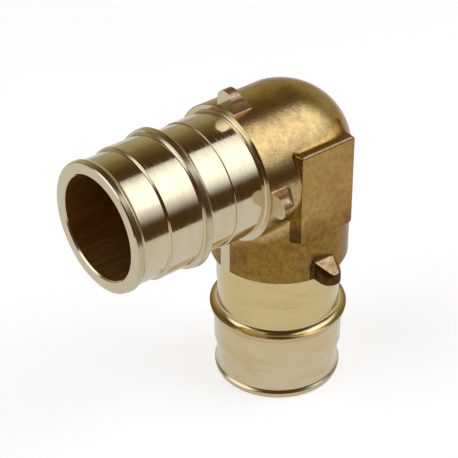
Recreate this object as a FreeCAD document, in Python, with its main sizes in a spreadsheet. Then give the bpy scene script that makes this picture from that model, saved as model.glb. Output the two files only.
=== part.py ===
import FreeCAD, Part
import math
import os

import Sketcher
from FreeCAD import Placement, Rotation, Vector

# Cold-expansion elbow for 1 inch pipe, cast in one piece of brass and turned at both ends.
# Origin: centre of the lower mouth. +Z runs up the lower leg, the side leg points along -X,
# and the raised plate faces -Y. All lengths are in millimetres.

SIZES = [
    ("lower_run", 22.6, "lower shoulder to the crossing of the two bores"),
    ("flank_clearance", 0.2, "side shoulder to the flank of the lower leg"),
    ("bore_diameter", 20.8, "waterway of both legs"),
    ("bore_chamfer", 0.3, "bevel where the bore opens in the mouth"),
    ("lip_diameter", 26.2, "lip at the mouth, which leads the pipe on"),
    ("lip_width", 1.2, "length of the lip's outer face"),
    ("lip_slope", 0.6, "length of the slope behind the lip"),
    ("lip_chamfer", 0.25, "bevel round the mouth face"),
    ("neck_diameter", 25.2, "turned land between the lip and the step"),
    ("step_distance", 7.6, "mouth to the step up to the seat"),
    ("seat_diameter", 26.3, "turned land between the step and the rib"),
    ("rib_distance", 15.0, "mouth to the front of the rib"),
    ("rib_width", 1.3, "length of the rib"),
    ("rib_diameter", 28.3, "crest of the rib, which grips the pipe"),
    ("waist_diameter", 25.0, "turned land behind the rib"),
    ("line_distance", 22.9, "mouth to the fine step ahead of the shoulder"),
    ("root_diameter", 25.4, "turned land ahead of the shoulder"),
    ("root_bevel", 0.35, "bevel that the turning tool leaves at the rib's roots and the shoulder"),
    ("shoulder_distance", 29.9, "mouth to the shoulder that stops the pipe"),
    ("body_diameter", 28.0, "cast body, cylinders and round back alike"),
    ("facing_reach", 9.0, "how far out from the body the cut swings that faces the lugs"),
    ("lug_setback", 0.27, "faced front of the lugs behind the shoulder"),
    ("lug_height", 4.1, "crest of a lug above the body"),
    ("lug_root", 0.5, "buried root of a lug below the body's surface"),
    ("lug_width", 4.6, "width of a lug"),
    ("lug_crest", 2.3, "length of a lug's crest, behind its faced front"),
    ("lug_foot", 4.95, "length of a lug at its root, behind its faced front"),
    ("lug_round", 2.2, "rounding of a lug's crest"),
    ("lug_fillet", 0.5, "fillet round the foot of a lug"),
    ("plate_width", 13.1, "raised plate, along the side leg"),
    ("plate_rise", 7.1, "crossing of the bores to the plate's top edge"),
    ("plate_drop", 12.6, "crossing of the bores to the plate's lower edge"),
    ("plate_height", 0.12, "face of the plate proud of the body's crown"),
    ("plate_corner", 0.9, "radius of the plate's corners"),
    ("plate_bevel", 0.1, "bevel of the plate's rim"),
]

doc = FreeCAD.newDocument("pex_elbow")
sheet = doc.addObject("Spreadsheet::Sheet", "Sizes")
for row, (name, value, note) in enumerate(SIZES, start=1):
    sheet.set(f"A{row}", name)
    sheet.set(f"B{row}", str(value))
    sheet.set(f"C{row}", note)
    sheet.setAlias(f"B{row}", name)
doc.recompute()


class Length:
    """A length with both its value now and the sheet expression that gives it."""

    def __init__(self, value, text):
        self.value = value
        self.text = text

    def __add__(self, other):
        return Length(self.value + other.value, f"({self.text} + {other.text})")

    def __sub__(self, other):
        return Length(self.value - other.value, f"({self.text} - {other.text})")

    def __neg__(self):
        return Length(-self.value, f"(-{self.text})")

    def half(self):
        return Length(self.value / 2, f"({self.text} / 2)")


def size(name):
    return Length(float(sheet.get(name)), f"Sizes.{name}")


def lower_leg():
    """Lower mouth to the crossing of the two bores."""
    return size("shoulder_distance") + size("lower_run")


def side_leg():
    """Side mouth to the crossing of the two bores."""
    return size("shoulder_distance") + size("body_diameter").half() + size("flank_clearance")


def lug_reach():
    """Leg's axis to the crest of a lug."""
    return size("body_diameter").half() + size("lug_height")


ZERO = Length(0.0, "0")
TOLERANCE = 0.001


def origin_plane(body, role):
    """The body's own base plane with this role."""
    for feature in body.Origin.OriginFeatures:
        if feature.Role == role:
            return feature
    raise ValueError(role)


def new_sketch(body, label, role, at=(ZERO, ZERO, ZERO), turn=0):
    """A sketch on a base plane, its origin moved by at and turned in its own plane."""
    sketch = body.newObject("Sketcher::SketchObject", label)
    sketch.Label = label
    sketch.AttachmentSupport = [(origin_plane(body, role), "")]
    sketch.MapMode = "FlatFace"
    shift = Vector(at[0].value, at[1].value, at[2].value)
    sketch.AttachmentOffset = Placement(shift, Rotation(Vector(0, 0, 1), turn))
    for axis, length in zip("xyz", at):
        if length.text != ZERO.text:
            sketch.setExpression(f"AttachmentOffset.Base.{axis}", length.text)
    return sketch


def pin(sketch, line, point, across, along):
    """Fix a point of the sketch by its two distances from the sketch's origin."""
    for kind, axis, length in (("DistanceX", -2, across), ("DistanceY", -1, along)):
        if length.text == ZERO.text:
            sketch.addConstraint(Sketcher.Constraint("PointOnObject", line, point, axis))
            continue
        number = sketch.addConstraint(Sketcher.Constraint(kind, line, point, length.value))
        sketch.setExpression(f"Constraints[{number}]", length.text)


def add_lines(sketch, corners, closed=True):
    """Straight lines from corner to corner, each corner pinned by its distances."""
    first = sketch.GeometryCount
    ends = corners[1:] + corners[:1] if closed else corners[1:]
    for start, end in zip(corners, ends):
        begin = Vector(start[0].value, start[1].value, 0)
        finish = Vector(end[0].value, end[1].value, 0)
        sketch.addGeometry(Part.LineSegment(begin, finish), False)
    last = sketch.GeometryCount - 1
    for line in range(first, last):
        sketch.addConstraint(Sketcher.Constraint("Coincident", line, 2, line + 1, 1))
    if closed:
        sketch.addConstraint(Sketcher.Constraint("Coincident", last, 2, first, 1))
    for line, corner in zip(range(first, last + 1), corners):
        pin(sketch, line, 1, *corner)
    return first, last


def close_with_dome(sketch, first, last, radius, height):
    """Quarter circle from the last line to the axis, then the axis back to the first line."""
    centre = Vector(0, height.value, 0)
    circle = Part.Circle(centre, Vector(0, 0, 1), radius.value)
    arc = sketch.addGeometry(Part.ArcOfCircle(circle, 0, math.pi / 2), False)
    pin(sketch, arc, 3, ZERO, height)
    sketch.addConstraint(Sketcher.Constraint("Coincident", last, 2, arc, 1))
    sketch.addConstraint(Sketcher.Constraint("PointOnObject", arc, 2, -2))
    across = sketch.addConstraint(Sketcher.Constraint("Radius", arc, radius.value))
    sketch.setExpression(f"Constraints[{across}]", radius.text)
    level = sketch.addConstraint(Sketcher.Constraint("DistanceY", arc, 1, height.value))
    sketch.setExpression(f"Constraints[{level}]", height.text)
    top = centre + Vector(0, radius.value, 0)
    axis = sketch.addGeometry(Part.LineSegment(top, Vector(0, 0, 0)), False)
    sketch.addConstraint(Sketcher.Constraint("Coincident", arc, 2, axis, 1))
    sketch.addConstraint(Sketcher.Constraint("Coincident", axis, 2, first, 1))


def turned_corners():
    """Half section of the turned end, from the centre of the mouth to the shoulder's rim."""
    lip = size("lip_diameter").half()
    neck = size("neck_diameter").half()
    seat = size("seat_diameter").half()
    rib = size("rib_diameter").half()
    waist = size("waist_diameter").half()
    root = size("root_diameter").half()
    body = size("body_diameter").half()
    chamfer = size("lip_chamfer")
    lip_end = size("lip_width")
    bevel = size("root_bevel")
    rib_start = size("rib_distance")
    rib_end = rib_start + size("rib_width")
    shoulder = size("shoulder_distance")
    return [
        (ZERO, ZERO),
        (lip - chamfer, ZERO),
        (lip, chamfer),
        (lip, lip_end),
        (neck, lip_end + size("lip_slope")),
        (neck, size("step_distance")),
        (seat, size("step_distance")),
        (seat, rib_start - bevel),
        (seat + bevel, rib_start),
        (rib, rib_start),
        (rib, rib_end),
        (waist + bevel, rib_end),
        (waist, rib_end + bevel),
        (waist, size("line_distance")),
        (root, size("line_distance")),
        (root, shoulder - bevel),
        (root + bevel, shoulder),
        (body, shoulder),
    ]


def revolve(body, kind, label, sketch):
    """A full turn of the sketch about its own vertical axis."""
    feature = body.newObject(kind, label)
    feature.Label = label
    feature.Profile = sketch
    feature.ReferenceAxis = (sketch, ["V_Axis"])
    feature.Angle = 360
    doc.recompute()


def side_sketch(body, label):
    """A sketch whose origin is the side mouth and whose vertical axis is the side leg's."""
    mouth = (-side_leg(), lower_leg(), ZERO)
    return new_sketch(body, label, "XZ_Plane", at=mouth, turn=-90)


def add_lower_leg(body):
    """Turned end, cast cylinder and the round back of the elbow, in one revolution."""
    sketch = new_sketch(body, "lower_leg_section", "XZ_Plane")
    radius = size("body_diameter").half()
    corners = turned_corners() + [(radius, lower_leg())]
    first, last = add_lines(sketch, corners, closed=False)
    close_with_dome(sketch, first, last, radius, lower_leg())
    revolve(body, "PartDesign::Revolution", "lower_leg", sketch)
    return sketch


def add_side_leg(body):
    """Turned end and cast cylinder of the side leg, as far as the lower leg's axis."""
    sketch = side_sketch(body, "side_leg_section")
    radius = size("body_diameter").half()
    corners = turned_corners() + [(radius, side_leg()), (ZERO, side_leg())]
    add_lines(sketch, corners)
    revolve(body, "PartDesign::Revolution", "side_leg", sketch)
    return sketch


def edge_curve(edge):
    """The curve that an edge lies on, or None for the point at the pole of a sphere."""
    try:
        return edge.Curve
    except TypeError:
        return None


def edge_names(shape, wanted):
    """Names of the edges that pass the test wanted(edge, curve)."""
    names = []
    for number, edge in enumerate(shape.Edges, start=1):
        curve = edge_curve(edge)
        if curve is not None and wanted(edge, curve):
            names.append(f"Edge{number}")
    return names


def is_along(point, direction, radius):
    """Test for a straight edge at this distance from the axis through the point."""
    def wanted(edge, curve):
        if not isinstance(curve, Part.Line) or not is_parallel(curve.Direction, direction):
            return False
        return abs((edge.CenterOfMass - point).cross(direction).Length - radius) < TOLERANCE
    return wanted


def is_parallel(first, second):
    return first.cross(second).Length < TOLERANCE


def dress(body, kind, label, names, amount):
    """Fillet or chamfer of the named edges of the body as it stands."""
    feature = body.newObject(f"PartDesign::{kind}", label)
    feature.Label = label
    feature.Base = (feature.BaseFeature, names)
    size_name = "Radius" if kind == "Fillet" else "Size"
    setattr(feature, size_name, amount.value)
    feature.setExpression(size_name, amount.text)
    doc.recompute()


def legs():
    """Centre of each mouth and the direction from it into the elbow."""
    lower_mouth = Vector(0, 0, 0)
    side_mouth = Vector(-side_leg().value, 0, lower_leg().value)
    return [(lower_mouth, Vector(0, 0, 1)), (side_mouth, Vector(1, 0, 0))]


def pad(body, label, sketch, length, both_ways=False):
    """Extrude the sketch along its normal, or evenly to both sides of its plane."""
    feature = body.newObject("PartDesign::Pad", label)
    feature.Label = label
    feature.Profile = sketch
    feature.Midplane = both_ways
    feature.Length = length.value
    feature.setExpression("Length", length.text)
    doc.recompute()
    return feature


def add_plate(body):
    """Flat raised plate on the front, across the two legs."""
    sketch = new_sketch(body, "plate_outline", "XZ_Plane", at=(ZERO, lower_leg(), ZERO))
    side = size("plate_width").half()
    bottom = -size("plate_drop")
    top = size("plate_rise")
    add_lines(sketch, [(-side, bottom), (side, bottom), (side, top), (-side, top)])
    face = size("body_diameter").half() + size("plate_height")
    pad(body, "plate", sketch, face)

    def is_corner(edge, curve):
        along_y = isinstance(curve, Part.Line) and is_parallel(curve.Direction, Vector(0, 1, 0))
        return along_y and abs(abs(edge.CenterOfMass.x) - side.value) < TOLERANCE

    dress(body, "Fillet", "plate_corners", edge_names(body.Shape, is_corner), size("plate_corner"))

    def is_rim(edge, _):
        return all(abs(vertex.Y + face.value) < TOLERANCE for vertex in edge.Vertexes)

    dress(body, "Chamfer", "plate_rim", edge_names(body.Shape, is_rim), size("plate_bevel"))


def lug_corners():
    """Side view of a lug: distance from the mouth, then distance from the leg's axis."""
    root = size("body_diameter").half() - size("lug_root")
    reach = lug_reach()
    shoulder = size("shoulder_distance")
    front = shoulder + size("lug_setback")
    return [
        (shoulder, root),
        (shoulder, reach),
        (front + size("lug_crest"), reach),
        (front + size("lug_foot"), root),
    ]


def add_lugs(body, label, sketch, axis, count, angle):
    """A lug from its side view, repeated round the leg's axis."""
    lug = pad(body, label, sketch, size("lug_width"), both_ways=True)
    pattern = body.newObject("PartDesign::PolarPattern", f"{label}_pattern")
    pattern.Label = f"{label}_pattern"
    pattern.Originals = [lug]
    pattern.Axis = (axis, ["V_Axis"])
    pattern.Angle = angle
    pattern.Occurrences = count
    body.Tip = pattern
    doc.recompute()


def add_side_lugs(body, axis):
    """Lugs on the back, the top and the front of the side leg."""
    mouth = (-side_leg(), ZERO, lower_leg())
    sketch = new_sketch(body, "side_lug_section", "XY_Plane", at=mouth)
    add_lines(sketch, lug_corners())
    add_lugs(body, "side_lug", sketch, axis, count=3, angle=180)


def add_lower_lugs(body, axis):
    """Lugs on the front and the back of the lower leg."""
    sketch = new_sketch(body, "lower_lug_section", "YZ_Plane")
    add_lines(sketch, [(-radius, distance) for distance, radius in lug_corners()])
    add_lugs(body, "lower_lug", sketch, axis, count=2, angle=360)


def round_lugs(body):
    """Round crest of every lug."""
    corner = math.hypot(lug_reach().value, size("lug_width").half().value)
    names = []
    for mouth, inward in legs():
        names += edge_names(body.Shape, is_along(mouth, inward, corner))
    dress(body, "Fillet", "lug_crests", names, size("lug_round"))


def is_lug_foot(mouth, inward):
    """Test for the edges where a lug's sides and back slope meet the leg's cylinder."""
    half_width = size("lug_width").half().value
    flank = math.sqrt(size("body_diameter").half().value ** 2 - half_width ** 2)
    shoulder = size("shoulder_distance").value

    def wanted(edge, _):
        if (edge.CenterOfMass - mouth).dot(inward) < shoulder + TOLERANCE:
            return False
        for vertex in edge.Vertexes:
            offset = vertex.Point - mouth
            across = offset - inward * offset.dot(inward)
            sides = sorted(abs(value) for value in across)
            if abs(sides[1] - half_width) > TOLERANCE or abs(sides[2] - flank) > TOLERANCE:
                return False
        return True
    return wanted


def fillet_lug_feet(body):
    """Cast fillet where the sides and the back slope of every lug meet the body."""
    names = []
    for mouth, inward in legs():
        names += edge_names(body.Shape, is_lug_foot(mouth, inward))
    dress(body, "Fillet", "lug_feet", names, size("lug_fillet"))


def face_shoulder(body, label, sketch):
    """Facing cut round a leg: trims the lugs and grazes the other leg's flank."""
    shoulder = size("shoulder_distance")
    front = shoulder + size("lug_setback")
    ring = size("body_diameter").half()
    swing = ring + size("facing_reach")
    add_lines(sketch, [(ring, shoulder), (swing, shoulder), (swing, front), (ring, front)])
    revolve(body, "PartDesign::Groove", label, sketch)


def bore_corners():
    """Half section of a bore from the mouth inwards, as far as its wall has begun."""
    bore = size("bore_diameter").half()
    chamfer = size("bore_chamfer")
    return [(ZERO, ZERO), (bore + chamfer, ZERO), (bore, chamfer)]


def cut_bores(body):
    """Waterway: the lower bore ends in a half ball at the crossing, the side bore runs into it."""
    bore = size("bore_diameter").half()
    lower = new_sketch(body, "lower_bore_section", "XZ_Plane")
    first, last = add_lines(lower, bore_corners() + [(bore, lower_leg())], closed=False)
    close_with_dome(lower, first, last, bore, lower_leg())
    revolve(body, "PartDesign::Groove", "lower_bore", lower)
    side = side_sketch(body, "side_bore_section")
    add_lines(side, bore_corners() + [(bore, side_leg()), (ZERO, side_leg())])
    revolve(body, "PartDesign::Groove", "side_bore", side)


def build_elbow():
    body = doc.addObject("PartDesign::Body", "elbow")
    body.Label = "elbow"
    lower_section = add_lower_leg(body)
    side_section = add_side_leg(body)
    add_plate(body)
    add_side_lugs(body, side_section)
    add_lower_lugs(body, lower_section)
    round_lugs(body)
    fillet_lug_feet(body)
    face_shoulder(body, "side_facing", side_sketch(body, "side_facing_section"))
    face_shoulder(body, "lower_facing", new_sketch(body, "lower_facing_section", "XZ_Plane"))
    cut_bores(body)
    return body


def check(document):
    """Stop unless every object of the document is sound and every cut has taken something away."""
    for item in document.Objects:
        if "Invalid" in item.State or "Error" in item.State:
            raise RuntimeError(f"{item.Label}: {item.State}")
        if item.TypeId == "PartDesign::Groove" and item.Shape.Volume > item.BaseFeature.Shape.Volume - 1:
            raise RuntimeError(f"{item.Label} cuts nothing")


def export(body):
    shape = body.Shape
    if shape.isNull() or not shape.isValid():
        raise RuntimeError(f"{body.Label} has no valid shape")
    os.makedirs("parts", exist_ok=True)
    shape.exportStep(f"parts/{body.Label}.step")
    print(body.Label, "volume", round(shape.Volume, 1), "solids", len(shape.Solids))


elbow = build_elbow()
doc.recompute()
check(doc)
export(elbow)
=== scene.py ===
import math

import bmesh
import bpy
import numpy as np
from mathutils import Matrix, Vector


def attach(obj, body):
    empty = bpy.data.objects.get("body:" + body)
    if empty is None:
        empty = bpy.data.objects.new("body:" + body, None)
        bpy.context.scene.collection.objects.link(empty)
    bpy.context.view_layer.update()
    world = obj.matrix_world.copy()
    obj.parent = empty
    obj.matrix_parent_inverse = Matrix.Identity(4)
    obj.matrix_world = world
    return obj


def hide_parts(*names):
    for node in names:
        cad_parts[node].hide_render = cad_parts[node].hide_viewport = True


# Cold-expansion elbow for 1 inch pipe: one brass casting, turned and bored at both ends.
# The frame is the CAD model's own: origin at the centre of the lower mouth, +Z up the lower leg,
# the side leg along -X, the raised plate on -Y. Lengths are in millimetres until a mesh is made.

MM = 0.001
LOWER_LEG = 52.5  # from the lower mouth to the crossing of the bores
SIDE_LEG = 44.1  # from the side mouth to the crossing of the bores
BODY = 14.0  # outside radius of the cast tubes
BORE = 10.4  # radius of the bores
SHOULDER = 29.9  # from a mouth to the shoulder that the facing cut leaves
LUG_FRONT = 30.17  # from a mouth to the cut fronts of the lugs
LUG_CREST_END = 32.47  # from a mouth to the end of a lug's crest
LUG_FOOT_END = 35.12  # from a mouth to the foot of a lug's back slope
LUG_REACH = 18.1  # from the leg's axis to the crest of a lug
LUG_HALF_WIDTH = 2.3
FACING_FLAT = -13.93  # x of the flat that the facing cut leaves on the lower leg's flank

# Steps of the cast tube's curves: along the side leg, round the bend, down the lower leg.
LEVEL_STEPS, TURN_STEPS, DROP_STEPS = 34, 64, 46

X, Y, Z = np.eye(3)
CROSSING = LOWER_LEG * Z

# A leg: centre of its mouth, the way in, and the two directions across it.
SIDE = (CROSSING - SIDE_LEG * X, X, Y, Z)
LOWER = (np.zeros(3), Z, X, Y)

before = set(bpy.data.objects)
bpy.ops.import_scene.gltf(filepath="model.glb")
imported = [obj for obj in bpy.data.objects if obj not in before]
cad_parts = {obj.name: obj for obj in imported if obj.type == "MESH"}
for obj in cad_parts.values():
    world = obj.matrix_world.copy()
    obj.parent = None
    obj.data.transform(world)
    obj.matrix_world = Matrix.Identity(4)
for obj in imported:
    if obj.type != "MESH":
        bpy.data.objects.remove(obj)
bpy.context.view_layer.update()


# Shapes

def smooth_max(first, second, blend):
    """The larger of two heights, with the corner between them filled over a width of blend:
    max + blend/4 * h squared, where h falls from 1 at equality to 0 where they differ by blend."""
    h = np.maximum(blend - np.abs(first - second), 0.0) / blend
    return np.maximum(first, second) + h * h * blend / 4


def smooth_min(first, second, blend):
    """The smaller of two heights, with the corner between them rounded over a width of blend."""
    return -smooth_max(-first, -second, blend)


def smooth_step(value, start, end):
    """0 before start, 1 after end, and 3t^2 - 2t^3 between them."""
    t = np.clip((value - start) / (end - start), 0.0, 1.0)
    return t * t * (3 - 2 * t)


def waves(points, size):
    """Gentle unevenness from -1 to 1: the mean of three crossed sine waves about size apart."""
    x, y, z = np.moveaxis(points * (2 * math.pi / size), -1, 0)
    first = np.sin(0.9 * x + 0.7 * y + 1.1)
    second = np.sin(0.8 * y - 1.1 * z + 2.3)
    third = np.sin(1.2 * z + 0.6 * x - 0.5 * y + 4.1)
    return (first + second + third) / 3


def rounded(corners, closed=False):
    """Points of an outline whose corners (across, up, radius) are turned into arcs.
    An arc's centre lies on the corner's bisector at radius / sin(half angle), and its points turn
    evenly from one side's normal to the other's. A guard point on each side keeps shading flat."""
    steps, guard = 7, 0.06
    places = np.array([corner[:2] for corner in corners], float)
    outline = []
    for number, (place, corner) in enumerate(zip(places, corners)):
        ends = number in (0, len(corners) - 1) and not closed
        if ends or corner[2] == 0:
            outline.append(place[None])
            continue
        back = places[number - 1] - place
        ahead = places[(number + 1) % len(places)] - place
        back /= np.linalg.norm(back)
        ahead /= np.linalg.norm(ahead)
        half = math.acos(np.clip(back @ ahead, -1, 1)) / 2
        bisector = (back + ahead) / np.linalg.norm(back + ahead)
        centre = place + bisector * corner[2] / math.sin(half)
        reach = corner[2] / math.tan(half)
        first = place + back * reach - centre
        last = place + ahead * reach - centre
        turn = math.pi - 2 * half
        t = np.linspace(0, 1, steps + 1)[:, None]
        arc = (np.sin((1 - t) * turn) * first + np.sin(t * turn) * last) / math.sin(turn)
        arc += centre
        outline += [(arc[0] + back * guard)[None], arc, (arc[-1] + ahead * guard)[None]]
    return np.concatenate(outline)


def resampled(outline, count, closed=False):
    """The outline at count places evenly spaced along its length."""
    if closed:
        outline = np.vstack([outline, outline[:1]])
    steps = np.linalg.norm(np.diff(outline, axis=0), axis=1)
    along = np.concatenate([[0], np.cumsum(steps)])
    wanted = np.linspace(0, along[-1], count, endpoint=not closed)
    return np.stack([np.interp(wanted, along, outline[:, k]) for k in (0, 1)], axis=-1)


def grid_quads(rows, columns, wrap_rows=False, wrap_columns=False):
    """Quads of a grid numbered row by row; a wrapped direction joins its last line to its first."""
    i, j = np.meshgrid(
        np.arange(rows if wrap_rows else rows - 1),
        np.arange(columns if wrap_columns else columns - 1),
        indexing="ij",
    )
    i_next = (i + 1) % rows
    j_next = (j + 1) % columns
    here, below = i * columns, i_next * columns
    return np.stack([here + j, below + j, below + j_next, here + j_next], axis=-1).reshape(-1, 4)


def make_piece(name, points, quads, materials, finish):
    """Closed mesh object from points in millimetres and quads. finish numbers each quad's
    material. Seams and poles are welded, normals are turned outwards, and edges that bend by more
    than 34 degrees stay sharp."""
    mesh = bpy.data.meshes.new(name)
    mesh.from_pydata((points.reshape(-1, 3) * MM).tolist(), [], quads.tolist())
    for material in materials:
        mesh.materials.append(material)
    mesh.polygons.foreach_set("material_index", finish.astype(np.int32))
    shell = bmesh.new()
    shell.from_mesh(mesh)
    bmesh.ops.remove_doubles(shell, verts=shell.verts, dist=1e-6)
    bmesh.ops.dissolve_degenerate(shell, edges=shell.edges, dist=1e-7)
    bmesh.ops.recalc_face_normals(shell, faces=shell.faces)
    shell.to_mesh(mesh)
    shell.free()
    mesh.polygons.foreach_set("use_smooth", np.ones(len(mesh.polygons), bool))
    mesh.set_sharp_from_angle(angle=math.radians(34))
    piece = bpy.data.objects.new(name, mesh)
    bpy.context.scene.collection.objects.link(piece)
    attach(piece, "root")
    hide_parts("elbow")
    return piece


def on_leg(leg, along, across, up):
    """Points at a distance along the leg from its mouth, across and up from its axis."""
    mouth, inward, right, above = leg
    return mouth + along[..., None] * inward + across[..., None] * right + up[..., None] * above


def turned_end(name, leg, turned, crest, bored):
    """Turned spigot: a closed half section of (distance from mouth, radius) spun about the leg's
    axis. Lip and rib rise a little away from the mouth, like barbs, and the roots are the arcs
    that the turning tool leaves. The names below are radii first, then distances from the mouth."""
    lip, behind_lip, land, rib, seat, root = 13.1, 12.6, 13.15, 14.15, 12.5, 12.7
    land_start, rib_front, rib_back, groove = 7.6, 15.0, 16.3, 22.75
    corners = [
        (SHOULDER + 0.4, BORE, 0), (0.3, BORE, 0.06), (0, BORE + 0.3, 0.05), (0, lip - 0.36, 0.03),
        (0.18, lip - 0.17, 0.03), (1.1, lip, 0.1), (1.25, lip, 0.08), (1.85, behind_lip, 0.9),
        (land_start, behind_lip, 0.3), (land_start, land, 0.14),
        (rib_front, land, 0.4), (rib_front, rib - 0.28, 0.1), (rib_back, rib, 0.16),
        (rib_back, seat, 1.4), (groove, seat, 0.04), (groove + 0.08, seat - 0.08, 0.04),
        (groove + 0.15, root, 0.05), (SHOULDER, root, 0.35), (SHOULDER, BODY, 0.04),
        (SHOULDER + 0.2, BODY - 0.4, 0),
    ]
    section = rounded(corners)
    theta = np.linspace(0, 2 * math.pi, 256, endpoint=False)
    along = np.repeat(section[:, :1], len(theta), axis=1)
    across = section[:, 1:] * np.cos(theta)
    up = section[:, 1:] * np.sin(theta)
    points = on_leg(leg, along, across, up)
    quads = grid_quads(*along.shape, wrap_rows=True, wrap_columns=True)
    depth, radius = (section[quads[:, 0] // len(theta)] + section[quads[:, 1] // len(theta)]).T / 2
    in_bore = (radius < BORE + 0.02) & (depth > 0.2)
    on_lip = (radius > lip - 0.18) & (depth < 1.4)
    on_rib = (radius > rib - 0.35) & (depth < rib_back + 0.1)
    return make_piece(name, points, quads, [turned, crest, bored], (on_lip | on_rib) + 2 * in_bore)


def bent_skin(radius, phi, side_end, lower_end, corner):
    """Skin of the bent tube, cut into flat curves y = radius sin(phi). With h = radius |cos(phi)|
    each curve runs level at height c + q from side_end to x = c, turns through a quarter circle of
    radius q about (c, c), and drops at x = c + q to lower_end. On the outside of the bend c = 0 and
    q = h, which makes a ball; on the inside c = -(h + q) with a small q, which makes the mitre."""
    outside = np.cos(phi) > 0
    h = radius * np.abs(np.cos(phi))
    tight = np.minimum(corner * np.abs(np.cos(phi)), -side_end - h)
    q = np.where(outside, h, np.maximum(tight, 0.0))
    c = np.where(outside, 0.0, -(h + q))
    level = np.concatenate([
        np.linspace(0, 1, LEVEL_STEPS + 1)[:-1], np.ones(TURN_STEPS + DROP_STEPS)])
    turn = np.concatenate([
        np.zeros(LEVEL_STEPS), np.linspace(0, 1, TURN_STEPS), np.ones(DROP_STEPS)])
    drop = np.concatenate([
        np.zeros(LEVEL_STEPS + TURN_STEPS), np.linspace(0, 1, DROP_STEPS + 1)[1:]])
    beta = (math.pi / 2) * (1 - turn)
    cos_beta = np.outer(np.ones(len(phi)), np.cos(beta))
    sin_beta = np.outer(np.ones(len(phi)), np.sin(beta))
    c, q = c[:, None], q[:, None]
    x = c + q * cos_beta + (side_end - c) * (1 - level)
    z = c + q * sin_beta + (lower_end - c) * drop
    y = np.outer(radius * np.sin(phi), np.ones(len(beta)))
    facing = np.cos(phi)[:, None]
    normal = np.stack([facing * cos_beta, np.sin(phi)[:, None] + 0 * x, facing * sin_beta], axis=-1)
    return np.stack([x, y, z], axis=-1), normal, drop > 0


def cast_body(name, cast, turned, bored):
    """Bent tube between the two shoulders: the outer skin, the bore's skin and a ring at each end
    that joins them. The outer skin ends 0.03 mm behind the shoulders, and moves in and out by up
    to 0.03 mm. The facing cut leaves a narrow flat on the lower leg's flank."""
    side_end, lower_end = -14.17, -22.57
    sliver = 0.004
    flat_edge = math.acos(FACING_FLAT / BODY)
    marks = [flat_edge - sliver, flat_edge, flat_edge + sliver]
    marks += [2 * math.pi - mark for mark in marks]
    phi = np.unique(np.concatenate([np.linspace(0, 2 * math.pi, 240, endpoint=False), marks]))
    outer, normal, dropping = bent_skin(BODY, phi, side_end, lower_end, 0.45)
    fade = smooth_step(outer[..., 0], side_end, -11.5)
    fade *= smooth_step(outer[..., 2], lower_end, -20.0)
    outer += normal * (0.03 * waves(outer, 7.0) * fade)[..., None]
    flank = (outer[..., 2] < -BODY + 0.3) & (outer[..., 0] < FACING_FLAT) & dropping
    outer[..., 0] = np.where(flank, FACING_FLAT, outer[..., 0])
    inner, _, _ = bent_skin(BORE, phi, side_end + 0.37, lower_end + 0.37, 0.02)
    loop = np.concatenate([outer, inner[:, ::-1]], axis=1)
    quads = grid_quads(len(phi), loop.shape[1], wrap_rows=True, wrap_columns=True)
    row, column = quads[:, 0] // loop.shape[1], quads[:, 0] % loop.shape[1]
    on_flat = np.abs(phi[row] + 1e-6 - math.pi) < math.pi - flat_edge
    on_flat &= (column >= LEVEL_STEPS + TURN_STEPS - 1) & (column < outer.shape[1] - 1)
    finish = np.where(column >= outer.shape[1], 2, np.where(on_flat, 1, 0))
    return make_piece(name, loop + CROSSING, quads, [cast, turned, bored], finish)


def body_depth(x, z):
    """Distance of the cast skin in front of the plane y = 0: whichever reaches further of the ball
    about the crossing, the side leg's cylinder where x < 0 and the lower leg's where z < 0."""
    ball = BODY ** 2 - x ** 2 - z ** 2
    level = np.where(x < 0, BODY ** 2 - z ** 2, 0)
    upright = np.where(z < 0, BODY ** 2 - x ** 2, 0)
    return np.sqrt(np.maximum(np.maximum(ball, level), np.maximum(upright, 1.0)))


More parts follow.
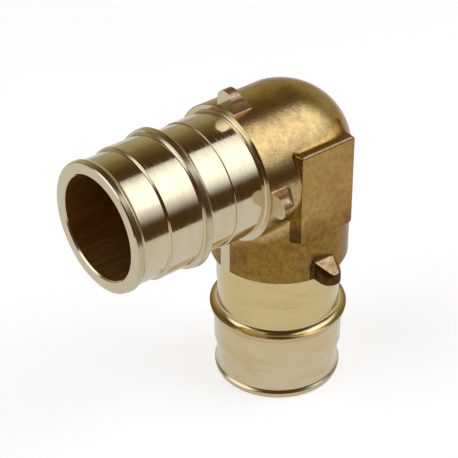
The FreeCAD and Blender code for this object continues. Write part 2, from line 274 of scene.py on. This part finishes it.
def raised_plate(name, cast, painted_shade_cast, fettled):
    """Flat plate on the front. A rounded rectangle is carried outwards from its centre over the
    face, round the rim by a quarter circle, down the drafted wall, and out on a foot fillet to the
    skin. Above a faint line near its lower end, the left half of the face stands 0.04 mm lower."""
    half, top, bottom, face = 6.55, 7.1, -12.6, 14.12
    face_rings, rim_rings, foot_rings, back_rings = 90, 6, 8, 10
    corners = [(-half, bottom, 0.6), (half, bottom, 0.6), (half, top, 0.6), (-half, top, 0.35)]
    outline = resampled(rounded(corners, closed=True), 400, closed=True)
    run = np.roll(outline, -1, axis=0) - np.roll(outline, 1, axis=0)
    normal = np.stack([run[:, 1], -run[:, 0]], axis=-1)
    normal /= np.linalg.norm(normal, axis=1)[:, None]
    room = face - body_depth(*(outline + normal * 0.3).T)
    on_top = np.clip(normal[:, 1], 0, 1)
    on_left = np.clip(-normal[:, 0], 0, 1)
    rim = np.minimum(0.2 + 0.3 * on_top, 0.5 * room)
    fuller = 0.25 + 1.6 * smooth_step(outline[:, 0], -1.0, 6.0)
    foot = np.minimum(0.3 + 0.25 * on_left + fuller * on_top, 0.6 * room)
    draft = 0.33 * on_left * np.maximum(room - rim, 0.0)
    centre = np.array([0.0, (top + bottom) / 2])
    rings = []

    def add(outset, depth, scale=1.0):
        ring = centre + (outline + normal * outset[:, None] - centre) * scale
        rings.append(np.stack([ring[:, 0], -depth(ring), ring[:, 1]], axis=-1))

    def face_depth(ring):
        # The line is 7.4 mm below the crossing in the middle and falls to the right.
        line = ring[:, 1] + 7.4 + 0.245 * ring[:, 0]
        drop = 0.04 * smooth_step(line, -0.15, 0.15) * (1 - smooth_step(ring[:, 0], 0.0, 2.5))
        return face - 0.025 - drop + 0.015 * waves(np.insert(ring, 1, 0, axis=1), 6.0)

    for scale in np.linspace(0, 1, face_rings):
        add(-rim, face_depth, scale)
    for angle in np.linspace(0, math.pi / 2, rim_rings + 1)[1:]:
        add(-rim * (1 - math.sin(angle)),
            lambda ring: face_depth(ring) - rim * (1 - math.cos(angle)))
    for angle in np.linspace(0, math.pi / 2, foot_rings):
        add(draft + foot * (1 - math.cos(angle)),
            lambda ring: body_depth(*ring.T) + foot * (1 - math.sin(angle)) - 0.005)
    # The last rings dip into the body, where nothing shows, and close the plate behind.
    add(draft + foot + 0.35, lambda ring: body_depth(*ring.T) - 0.12)
    for scale in np.linspace(1, 0, back_rings):
        add(np.zeros(len(outline)), lambda ring: body_depth(*ring.T) - 0.9, scale)
    points = np.stack(rings) + CROSSING
    quads = grid_quads(len(rings), len(outline), wrap_columns=True)
    row, column = quads[:, 0] // len(outline), quads[:, 0] % len(outline)
    # Painted shade: the lower part of the rim and the foot fillet, all round but the top edge, take
    # the darker brass.
    wall = (row >= face_rings + 2) & (row < face_rings + 12) & (on_top[column] < 0.98)
    upper_rim = (row >= face_rings) & (row < face_rings + 5) & (on_top[column] > 0.98)
    return make_piece(name, points, quads, [cast, painted_shade_cast, fettled], wall + 2 * upper_rim)


def cast_lug(name, leg, quarter, finishes, reach=LUG_REACH, cut_end=LUG_CREST_END,
             foot_end=LUG_FOOT_END, feet=(0.5, 0.5, 0.9), chopped=9.0, rubbed=0.0, aside=0.0):
    """Lug on a leg, that many quarter turns round from the leg's own across. Across it, the
    outline is a half-round crest on upright sides with a fillet at each foot. Along it, the height
    is the least of that outline, the back slope, and a slope on each flank that falls by 1.24 for
    each millimetre along and 1.22 for each one across, so that the back closes in to a narrow
    ridge. cut_end is where those two slopes leave the crest, foot_end where the back slope ends,
    and feet the fillets on the two sides and the back. chopped is where across the lug a steeper
    slope begins, which for most lugs is beyond their side. The crest is rubbed bare down to the
    depth given. The front is the plane that the facing cut leaves, with a thin uncut rim behind
    it. aside is how far off centre the lug sits."""
    rows, columns, spread = 90, 181, 3.9
    rim, ridge, buried, underside = 0.2, 0.72, 13.5, 12.6
    skin = math.sqrt(BODY ** 2 - LUG_HALF_WIDTH ** 2) - 0.02
    edge = math.sqrt(BODY ** 2 - spread ** 2) - 0.25
    outline = resampled(rounded([
        (-spread, edge, 0), (-LUG_HALF_WIDTH, skin, feet[0]), (-LUG_HALF_WIDTH, reach, 2.2),
        (LUG_HALF_WIDTH, reach, 2.2), (LUG_HALF_WIDTH, skin, feet[1]), (spread, edge, 0),
    ]), columns)
    across, crest = np.repeat(outline.T[:, None], rows, axis=1)
    stations = np.linspace(LUG_FRONT, LUG_FOOT_END + 1.0, rows)
    along = np.repeat(stations[:, None], columns, axis=1)
    slope = (reach - buried) / (foot_end - LUG_CREST_END)
    back = reach - slope * (along - LUG_CREST_END)
    fall = np.maximum(1.22 * (np.abs(across) - ridge), 3.0 * (across - chopped))
    flank = reach - 1.24 * (along - cut_end) - fall
    flank = np.where(along < LUG_FRONT + rim, reach + 1.0, flank)
    uneven = waves(np.stack([across, along, back], axis=-1) + quarter, 2.6)
    hollow = 0.04 * uneven * smooth_step(along, 31.2, 32.6)
    ground = np.sqrt(BODY ** 2 - (across + aside) ** 2) - 0.1
    height = smooth_min(smooth_min(back, flank, 0.4) + hollow, crest, 0.45)
    middle = 1 - smooth_step(np.abs(across), 1.2, 2.4)
    behind = smooth_step(along, 32.0, 34.5)
    height = smooth_max(height, ground, feet[2] * behind * middle + 0.3)
    height = np.minimum(height, reach - 0.005)
    # The underside is a flat sheet inside the body's wall.
    under = np.repeat(np.linspace(-3.6, 3.6, columns)[None], rows, axis=0)
    top = (along, across + aside, height)
    low = (along, under + aside, np.full(along.shape, underside))
    turn = quarter * math.pi / 2
    grids = []
    for inward, width, radius in (top, low):
        out = radius * math.cos(turn) - width * math.sin(turn)
        over = radius * math.sin(turn) + width * math.cos(turn)
        grids.append(on_leg(leg, inward, out, over))
    loop = np.concatenate([grids[0], grids[1][:, ::-1]], axis=1)
    round_loop = 2 * columns
    quads = grid_quads(rows, round_loop, wrap_columns=True)
    row, place = quads[:, 0] // round_loop, quads[:, 0] % round_loop
    column = np.minimum(place, columns - 1)
    on_back = (back < flank + 0.1) & (height > ground + 0.5) & (along > LUG_CREST_END)
    bare = on_back | (height > reach - rubbed)
    trimmed = bare[row, column] & (along[row, column] > 30.2) & (place < columns)
    j = np.arange(columns - 1)
    caps = [np.stack([start + j, start + j + 1, start + round_loop - 2 - j,
                      start + round_loop - 1 - j], axis=-1)
            for start in (0, (rows - 1) * round_loop)]
    finish = np.concatenate([trimmed * 2, np.ones(len(j)), np.zeros(len(j))])
    return make_piece(name, loop, np.concatenate([quads, *caps]), finishes, finish)


# Materials

def linear(hex_colour):
    """Linear RGBA of an sRGB hex colour."""
    channels = np.array([int(hex_colour[k:k + 2], 16) for k in (1, 3, 5)]) / 255
    bent = ((channels + 0.055) / 1.055) ** 2.4
    return (*np.where(channels <= 0.04045, channels / 12.92, bent).tolist(), 1.0)


# Sockets of the Mix node when it mixes colours. Other kinds of value use the same names.
COLOUR_A, COLOUR_B, MIXED = 6, 7, 2


def node(tree, kind, inputs=None, **settings):
    """A new node with its settings, and each input given a value or joined to the output given."""
    made = tree.nodes.new(kind)
    for name, value in settings.items():
        setattr(made, name, value)
    for key, value in (inputs or {}).items():
        if isinstance(value, bpy.types.NodeSocket):
            tree.links.new(value, made.inputs[key])
        else:
            made.inputs[key].default_value = value
    return made


def new_material(name):
    """An empty node material and its tree."""
    material = bpy.data.materials.new(name)
    material.use_nodes = True
    material.node_tree.nodes.clear()
    return material, material.node_tree


def turned_brass(name, axis, clean, stained, neutral, roughness):
    """Free-machining brass turned on a lathe: pale yellow, almost a mirror, with fine rings round
    the axis (0 for X, 2 for Z) that feather the edges of what it reflects, faint stains from
    handling and a few pits."""
    material, tree = new_material(name)
    place = node(tree, "ShaderNodeTexCoord").outputs["Object"]
    # Rings of 0.25 mm, coarser than the real feed marks so that they show, and 9 mm long.
    along, round_axis = 1 / (0.25 * MM), 1 / (9 * MM)
    scale = [along if k == axis else round_axis for k in range(3)]
    stretched = node(tree, "ShaderNodeMapping", {"Vector": place, "Scale": scale})
    rings = node(tree, "ShaderNodeTexNoise", {
        "Vector": stretched.outputs[0], "Scale": 1.0, "Detail": 3.0,
    })
    smear = [1 / ((2.5 if k == axis else 8.0) * MM) for k in range(3)]
    smeared = node(tree, "ShaderNodeMapping", {"Vector": place, "Scale": smear})
    stains = node(tree, "ShaderNodeTexNoise", {
        "Vector": smeared.outputs[0], "Scale": 1.0, "Detail": 5.0,
    })
    pits = node(tree, "ShaderNodeTexNoise", {
        "Vector": place, "Scale": 1 / (0.6 * MM), "Detail": 1.0,
    })
    # Painted reflection: the lower spigot is painted more neutral at its foot and yellower higher
    # up, standing in for the cast body's warm reflection above it. The side spigot gives both the
    # same colour.
    height = node(tree, "ShaderNodeSeparateXYZ", {"Vector": place}).outputs["Z"]
    foot = node(tree, "ShaderNodeMapRange", {
        "Value": height, "From Min": 6 * MM, "From Max": 20 * MM, "To Min": 1.0, "To Max": 0.0,
    })
    stain = node(tree, "ShaderNodeMapRange", {
        "Value": stains.outputs[0], "From Min": 0.48, "From Max": 0.68, "To Min": 0.0,
        "To Max": 0.7,
    })
    pit = node(tree, "ShaderNodeMapRange", {
        "Value": pits.outputs[0], "From Min": 0.72, "From Max": 0.8, "To Min": 0.0,
        "To Max": 0.35,
    })
    # Painted reflection: the neutral foot colour is mixed in low down.
    metal = node(tree, "ShaderNodeMix", {
        "Factor": foot.outputs[0], COLOUR_A: linear(clean), COLOUR_B: linear(neutral),
    }, data_type="RGBA")
    handled = node(tree, "ShaderNodeMix", {
        "Factor": stain.outputs[0], COLOUR_A: metal.outputs[MIXED], COLOUR_B: linear(stained),
    }, data_type="RGBA")
    colour = node(tree, "ShaderNodeMix", {
        "Factor": pit.outputs[0], COLOUR_A: handled.outputs[MIXED], COLOUR_B: linear("#A07C44"),
    }, data_type="RGBA")
    rough = node(tree, "ShaderNodeMapRange", {
        "Value": rings.outputs[0], "From Min": 0.3, "From Max": 0.72, "To Min": roughness[0],
        "To Max": roughness[1],
    })
    bump = node(tree, "ShaderNodeBump", {
        "Height": rings.outputs[0], "Strength": 0.022, "Distance": 0.03 * MM,
    })
    # A trace of cutting oil whitens the strongest reflections.
    shader = node(tree, "ShaderNodeBsdfPrincipled", {
        "Base Color": colour.outputs[MIXED], "Metallic": 1.0, "Roughness": rough.outputs[0],
        "Coat Weight": 0.8, "Coat Roughness": 0.12, "Normal": bump.outputs[0],
    })
    node(tree, "ShaderNodeOutputMaterial", {"Surface": shader.outputs[0]})
    return material


def bored_brass(name):
    """Brass bored out and left as it came: dull with oxide, so that the light which finds its way
    in through the mouth dies away in browns, with streaks from the boring bar."""
    material, tree = new_material(name)
    place = node(tree, "ShaderNodeTexCoord").outputs["Object"]
    # Streaks 17 mm long on the side leg and under 1 mm wide.
    stretched = node(tree, "ShaderNodeMapping", {
        "Vector": place, "Scale": (0.06 / MM, 1.2 / MM, 1.2 / MM),
    })
    blotch = node(tree, "ShaderNodeTexNoise", {
        "Vector": place, "Scale": 1 / (5 * MM), "Detail": 4.0,
    })
    streaks = node(tree, "ShaderNodeTexNoise", {
        "Vector": stretched.outputs[0], "Scale": 1.0, "Detail": 3.0,
    })
    grain = node(tree, "ShaderNodeTexNoise", {
        "Vector": place, "Scale": 1 / (0.4 * MM), "Detail": 2.0,
    })
    colour = node(tree, "ShaderNodeMix", {
        "Factor": blotch.outputs[0], COLOUR_A: linear("#BC8E50"), COLOUR_B: linear("#D8B468"),
    }, data_type="RGBA")
    rough = node(tree, "ShaderNodeMapRange", {
        "Value": streaks.outputs[0], "From Min": 0.38, "From Max": 0.62, "To Min": 0.5,
        "To Max": 0.42,
    })
    bump = node(tree, "ShaderNodeBump", {
        "Height": grain.outputs[0], "Strength": 0.3, "Distance": 0.03 * MM,
    })
    shader = node(tree, "ShaderNodeBsdfPrincipled", {
        "Base Color": colour.outputs[MIXED], "Metallic": 1.0, "Roughness": rough.outputs[0],
        "Normal": bump.outputs[0],
    })
    node(tree, "ShaderNodeOutputMaterial", {"Surface": shader.outputs[0]})
    return material


def cast_brass(name, golden, pink, brown, olive, roughness, film):
    """Brass as it left the sand and the tumbler: satin gold over the bend and the side leg, browner
    with oxide and more deeply speckled down the lower leg, with pinkish patches, olive specks and
    the fine grain of sand."""
    material, tree = new_material(name)
    place = node(tree, "ShaderNodeTexCoord").outputs["Object"]
    parts = node(tree, "ShaderNodeSeparateXYZ", {"Vector": place})
    mottle = node(tree, "ShaderNodeTexNoise", {
        "Vector": place, "Scale": 1 / (7 * MM), "Detail": 5.0,
    })
    specks = node(tree, "ShaderNodeTexNoise", {
        "Vector": place, "Scale": 1 / (1.4 * MM), "Detail": 6.0, "Roughness": 0.7,
    })
    grain = node(tree, "ShaderNodeTexNoise", {
        "Vector": place, "Scale": 1 / (0.35 * MM), "Detail": 3.0,
    })
    swell = node(tree, "ShaderNodeTexNoise", {
        "Vector": place, "Scale": 1 / (2.8 * MM), "Detail": 2.0,
    })
    # On the mitre x - z is -LOWER_LEG, and below it more. The noise makes the border wander.
    beyond = node(tree, "ShaderNodeMath", {
        0: parts.outputs["X"], 1: parts.outputs["Z"],
    }, operation="SUBTRACT")
    wander = node(tree, "ShaderNodeMath", {
        0: mottle.outputs[0], 1: 5 * MM, 2: beyond.outputs[0],
    }, operation="MULTIPLY_ADD")
    past_mitre = node(tree, "ShaderNodeMapRange", {
        "Value": wander.outputs[0], "From Min": (3.0 - LOWER_LEG) * MM,
        "From Max": (5.5 - LOWER_LEG) * MM, "To Min": 0.0, "To Max": 1.0,
    })
    # The brown keeps off the round back too, which is higher up.
    low_down = node(tree, "ShaderNodeMapRange", {
        "Value": parts.outputs["Z"], "From Min": (LOWER_LEG - 6) * MM,
        "From Max": (LOWER_LEG - 12) * MM, "To Min": 0.0, "To Max": 1.0,
    })
    lower = node(tree, "ShaderNodeMath", {
        0: past_mitre.outputs[0], 1: low_down.outputs[0],
    }, operation="MULTIPLY")
    gold = node(tree, "ShaderNodeMix", {
        "Factor": lower.outputs[0], COLOUR_A: linear(golden), COLOUR_B: linear(brown),
    }, data_type="RGBA")
    blush = node(tree, "ShaderNodeMapRange", {
        "Value": mottle.outputs[0], "From Min": 0.46, "From Max": 0.64, "To Min": 0.0,
        "To Max": 0.65,
    })
    darkest = node(tree, "ShaderNodeMath", {
        0: lower.outputs[0], 1: 0.32, 2: 0.46,
    }, operation="MULTIPLY_ADD")
    tarnish = node(tree, "ShaderNodeMapRange", {
        "Value": specks.outputs[0], "From Min": 0.42, "From Max": 0.66, "To Min": 0.0,
        "To Max": darkest.outputs[0],
    })
    first = node(tree, "ShaderNodeMix", {
        "Factor": blush.outputs[0], COLOUR_A: gold.outputs[MIXED], COLOUR_B: linear(pink),
    }, data_type="RGBA", blend_type="MULTIPLY")
    colour = node(tree, "ShaderNodeMix", {
        "Factor": tarnish.outputs[0], COLOUR_A: first.outputs[MIXED], COLOUR_B: linear(olive),
    }, data_type="RGBA", blend_type="MULTIPLY")
    rough = node(tree, "ShaderNodeMapRange", {
        "Value": specks.outputs[0], "From Min": 0.3, "From Max": 0.7, "To Min": roughness[0],
        "To Max": roughness[1],
    })
    low = node(tree, "ShaderNodeBump", {
        "Height": swell.outputs[0], "Strength": 0.25, "Distance": 0.1 * MM,
    })
    bump = node(tree, "ShaderNodeBump", {
        "Height": grain.outputs[0], "Strength": 0.55, "Distance": 0.05 * MM,
        "Normal": low.outputs[0],
    })
    # The film of oxide gives the colourless part of the sheen, and dulls it where it grazes.
    shader = node(tree, "ShaderNodeBsdfPrincipled", {
        "Base Color": colour.outputs[MIXED], "Metallic": 1.0, "Roughness": rough.outputs[0],
        "Specular Tint": linear("#E2D8C4"), "Coat Weight": film, "Coat Roughness": 0.2,
        "Normal": bump.outputs[0],
    })
    node(tree, "ShaderNodeOutputMaterial", {"Surface": shader.outputs[0]})
    return material


turned_side = turned_brass(
    "turned_brass_side", axis=0, clean="#E1D2AE", stained="#DCC9A0", neutral="#E1D2AE",
    roughness=(0.05, 0.22))
turned_lower = turned_brass(
    "turned_brass_lower", axis=2, clean="#E6CF92", stained="#DCC284", neutral="#E4D3AC",
    roughness=(0.12, 0.28))
crest_side = turned_brass(
    "worn_crest_side", axis=0, clean="#D8CAA8", stained="#C8B890", neutral="#D8CAA8",
    roughness=(0.18, 0.3))
crest_lower = turned_brass(
    "worn_crest_lower", axis=2, clean="#DCC286", stained="#C8A86C", neutral="#D8C69C",
    roughness=(0.18, 0.3))
bored = bored_brass("bored_brass")
cast = cast_brass(
    "sand_cast_brass", golden="#D4B876", pink="#F2DAE4", brown="#A27A28", olive="#B0A684",
    roughness=(0.2, 0.28), film=0.5)
plated = cast_brass(
    "raised_plate_brass", golden="#C69E58", pink="#F0D8E2", brown="#A27A28", olive="#A89E80",
    roughness=(0.24, 0.32), film=0.4)
# Fettled brass: the pale, filed finish of the lugs' bare backs and crests and of the plate's upper
# rim. Its lower colour, which the lower lugs' bare backs take, is lighter still, partly for that
# finish and partly as a painted highlight.
fettled = cast_brass(
    "fettled_brass", golden="#C4A67E", pink="#F0E0E0", brown="#F0CC9C", olive="#C4B090",
    roughness=(0.36, 0.48), film=0.3)
# Painted shade: a darker, browner copy of the cast brass for the plate's side and bottom walls and
# the lower front lug, where shade falls.
painted_shade_cast = cast_brass(
    "painted_shade_cast_brass", golden="#8E6620", pink="#F4E6DC", brown="#60441A", olive="#A89C78",
    roughness=(0.34, 0.44), film=0.15)

turned_end("side_spigot", SIDE, turned_side, crest_side, bored)
turned_end("lower_spigot", LOWER, turned_lower, crest_lower, bored)
cast_body("cast_body", cast, turned_side, bored)
raised_plate("raised_plate", plated, painted_shade_cast, fettled)
on_side = [cast, turned_side, fettled]
on_lower = [cast, turned_lower, fettled]
cast_lug("side_lug_top", SIDE, 1, on_side,
         reach=17.95, cut_end=33.0, feet=(0.5, 0.6, 0.5), rubbed=5.0)
cast_lug("side_lug_back", SIDE, 0, on_side, rubbed=1.0)
cast_lug("side_lug_front", SIDE, 2, on_side,
         reach=17.8, feet=(0.9, 0.2, 0.1), chopped=-0.6, rubbed=5.0)
# Painted shade: the lower front lug is in the darker brass, all but its cut front and its bare
# back.
cast_lug("lower_lug_front", LOWER, 3, [painted_shade_cast, turned_lower, fettled],
         foot_end=34.4, feet=(0.6, 0.5, 0.6), aside=-0.45)
cast_lug("lower_lug_back", LOWER, 1, on_lower)


# Camera and studio. TO_CAMERA and TO_RIGHT are level directions as the camera sees them.

LOOK_DOWN, LOOK_ROUND = math.radians(34.51), math.radians(-38.86)
LOOK = Vector((-math.sin(LOOK_ROUND) * math.cos(LOOK_DOWN),
               math.cos(LOOK_ROUND) * math.cos(LOOK_DOWN), -math.sin(LOOK_DOWN)))
TO_RIGHT = Vector((math.cos(LOOK_ROUND), math.sin(LOOK_ROUND), 0))
TO_CAMERA = Vector((math.sin(LOOK_ROUND), -math.cos(LOOK_ROUND), 0))
UP = Vector((0, 0, 1))
MIDDLE = Vector((-0.012, 0, 0.035))


def placed(obj, place, right, up):
    """Put an object where its own X runs right, its Y up and its Z towards the viewer."""
    turn = Matrix((right, up, right.cross(up))).transposed()
    obj.matrix_world = Matrix.Translation(place) @ turn.to_4x4()
    bpy.context.scene.collection.objects.link(obj)


def add_camera():
    """Camera at the photograph's place; 141.48 mm on a 36 mm sensor is its angle of view."""
    data = bpy.data.cameras.new("camera")
    data.lens = 141.48
    data.sensor_width = 36
    data.clip_start = 0.02
    camera = bpy.data.objects.new("camera", data)
    placed(camera, Vector((-195.35, -226.37, 238.9)) * MM, TO_RIGHT, TO_RIGHT.cross(LOOK))
    bpy.context.scene.camera = camera


def add_softbox(name, side, power, size, ahead, lift, levels):
    """Softbox above one side, brightest across its upper middle. The light falls off to its lower
    edge and a little to its upper edge, as the photograph's reflections show. ahead is how far its
    middle stands towards the camera, lift how far it is raised along its own slope, and levels its
    light as pairs of place and level, from one end to the other and from its foot to its head."""
    out = (TO_RIGHT * side * 0.78 + UP * 0.62 + TO_CAMERA * 0.05).normalized()
    across = TO_CAMERA * side
    upward = out.cross(across)
    if upward.z < 0:
        across, upward = -across, -upward
    data = bpy.data.lights.new(name, "AREA")
    data.shape = "RECTANGLE"
    data.size, data.size_y = size
    data.energy = power
    data.use_nodes = True
    tree = data.node_tree
    tree.nodes.clear()
    place = node(tree, "ShaderNodeNewGeometry").outputs["Parametric"]
    parts = node(tree, "ShaderNodeSeparateXYZ", {"Vector": place})
    faded = []
    for axis, profile in enumerate(levels):
        ramp = node(tree, "ShaderNodeValToRGB", {0: parts.outputs[axis]})
        stops = ramp.color_ramp.elements
        for stop, (_, level) in zip(stops, (profile[0], profile[-1])):
            stop.color = (level, level, level, 1)
        for position, level in profile[1:-1]:
            stops.new(position).color = (level, level, level, 1)
        faded.append(ramp.outputs[0])
    both = node(tree, "ShaderNodeMath", {0: faded[0], 1: faded[1]}, operation="MULTIPLY")
    glow = node(tree, "ShaderNodeEmission", {
        "Color": linear("#E8F0FF"), "Strength": both.outputs[0],
    })
    node(tree, "ShaderNodeOutputLight", {"Surface": glow.outputs[0]})
    softbox = bpy.data.objects.new(name, data)
    placed(softbox, MIDDLE + out * 0.6 + upward * lift + TO_CAMERA * ahead, across, upward)


def add_floor():
    """Sheet of white paper that keeps its shadow. The camera sees it white. The metal sees it grey,
    as the photograph's exposure left it, and with most of its shadow lit up."""
    material, tree = new_material("white_paper")
    path = node(tree, "ShaderNodeLightPath")
    seen = node(tree, "ShaderNodeMath", {
        0: path.outputs["Is Glossy Ray"], 1: path.outputs["Is Transmission Ray"],
    }, operation="MAXIMUM")
    mirrored = node(tree, "ShaderNodeMath", {0: seen.outputs[0], 1: 0.54}, operation="MULTIPLY")
    level = node(tree, "ShaderNodeMath", {
        0: path.outputs["Is Camera Ray"], 1: 0.61, 2: mirrored.outputs[0],
    }, operation="MULTIPLY_ADD")
    colour = node(tree, "ShaderNodeMix", {
        "Factor": seen.outputs[0], COLOUR_A: linear("#EEEEEE"), COLOUR_B: linear("#949492"),
    }, data_type="RGBA")
    paper = node(tree, "ShaderNodeBsdfDiffuse", {"Color": colour.outputs[MIXED]})
    glow = node(tree, "ShaderNodeEmission", {"Color": (1, 1, 1, 1), "Strength": level.outputs[0]})
    both = node(tree, "ShaderNodeAddShader", {0: paper.outputs[0], 1: glow.outputs[0]})
    node(tree, "ShaderNodeOutputMaterial", {"Surface": both.outputs[0]})
    mesh = bpy.data.meshes.new("paper")
    corners = [TO_RIGHT * across + TO_CAMERA * ahead for across, ahead in
               ((-0.178, 0.5), (0.178, 0.5), (0.178, -0.9), (-0.178, -0.9))]
    mesh.from_pydata([tuple(corner) for corner in corners], [], [(0, 1, 2, 3)])
    mesh.materials.append(material)
    floor = bpy.data.objects.new("paper", mesh)
    floor.location.z = -0.00005
    bpy.context.scene.collection.objects.link(floor)


def add_studio_walls():
    """Dim studio round the table, as the metal sees it: almost black in front and overhead, and a
    grey glow low down behind. The camera doesn't see it."""
    material, tree = new_material("studio_walls")
    place = node(tree, "ShaderNodeTexCoord").outputs["Object"]
    way = node(tree, "ShaderNodeVectorMath", {0: place}, operation="NORMALIZE").outputs[0]
    behind = node(tree, "ShaderNodeVectorMath", {
        0: way, 1: tuple(-TO_CAMERA),
    }, operation="DOT_PRODUCT")
    height = node(tree, "ShaderNodeSeparateXYZ", {"Vector": way})
    back = node(tree, "ShaderNodeMapRange", {
        "Value": behind.outputs["Value"], "From Min": 0.0, "From Max": 0.6, "To Min": 0.0,
        "To Max": 1.0,
    })
    below = node(tree, "ShaderNodeMapRange", {
        "Value": height.outputs["Z"], "From Min": 0.2, "From Max": 0.6, "To Min": 1.0,
        "To Max": 0.0,
    })
    under = node(tree, "ShaderNodeMapRange", {
        "Value": height.outputs["Z"], "From Min": 0.5, "From Max": 0.83, "To Min": 1.0,
        "To Max": 0.0,
    })
    amount = node(tree, "ShaderNodeMath", {
        0: back.outputs[0], 1: under.outputs[0],
    }, operation="MULTIPLY")
    wall = node(tree, "ShaderNodeMix", {
        "Factor": below.outputs[0], COLOUR_A: (0.275, 0.225, 0.085, 1),
        COLOUR_B: (0.42, 0.38, 0.26, 1),
    }, data_type="RGBA")
    colour = node(tree, "ShaderNodeMix", {
        "Factor": amount.outputs[0], COLOUR_A: (0.075, 0.043, 0.015, 1),
        COLOUR_B: wall.outputs[MIXED],
    }, data_type="RGBA")
    glow = node(tree, "ShaderNodeEmission", {"Color": colour.outputs[MIXED], "Strength": 1.0})
    node(tree, "ShaderNodeOutputMaterial", {"Surface": glow.outputs[0]})
    radius, around, downwards = 1.5, 48, 25
    down, turn = np.meshgrid(np.linspace(0, math.pi, downwards),
                             np.linspace(0, 2 * math.pi, around, endpoint=False))
    points = radius * np.stack(
        [np.sin(down) * np.cos(turn), np.sin(down) * np.sin(turn), np.cos(down)], axis=-1)
    mesh = bpy.data.meshes.new("studio_walls")
    quads = grid_quads(around, downwards, wrap_rows=True)
    mesh.from_pydata(points.reshape(-1, 3).tolist(), [], quads.tolist())
    mesh.materials.append(material)
    walls = bpy.data.objects.new("studio_walls", mesh)
    walls.visible_camera = False
    bpy.context.scene.collection.objects.link(walls)


def add_world():
    """Plain white surroundings beyond the paper."""
    world = bpy.data.worlds.new("white_surroundings")
    world.use_nodes = True
    world.node_tree.nodes["Background"].inputs["Color"].default_value = (1, 1, 1, 1)
    world.node_tree.nodes["Background"].inputs["Strength"].default_value = 1.0
    bpy.context.scene.world = world


add_camera()
add_softbox("softbox_right", side=1, power=3.22, size=(0.6, 0.76), ahead=0.0, lift=0.05, levels=(
    ((0.0, 0.15), (0.11, 0.48), (0.19, 0.55), (0.29, 0.97),
     (0.6, 1.0), (0.73, 0.8), (0.92, 0.66), (1.0, 0.6)),
    ((0.0, 0.0), (0.04, 0.03), (0.12, 0.22), (0.2, 0.48), (0.27, 0.62), (0.34, 0.67), (0.4, 0.79),
     (0.46, 0.87), (0.52, 0.9), (0.82, 0.9), (0.89, 0.77), (0.95, 0.45), (1.0, 0.32))))
add_softbox("softbox_left", side=-1, power=3.9, size=(0.64, 0.9), ahead=0.17, lift=-0.03, levels=(
    ((0.0, 0.0), (0.2, 0.9), (0.8, 0.9), (1.0, 0.0)),
    ((0.0, 0.3), (0.3, 0.7), (0.5, 0.9), (1.0, 0.9))))
add_floor()
add_studio_walls()
add_world()
bpy.context.scene.view_settings.view_transform = "Standard"
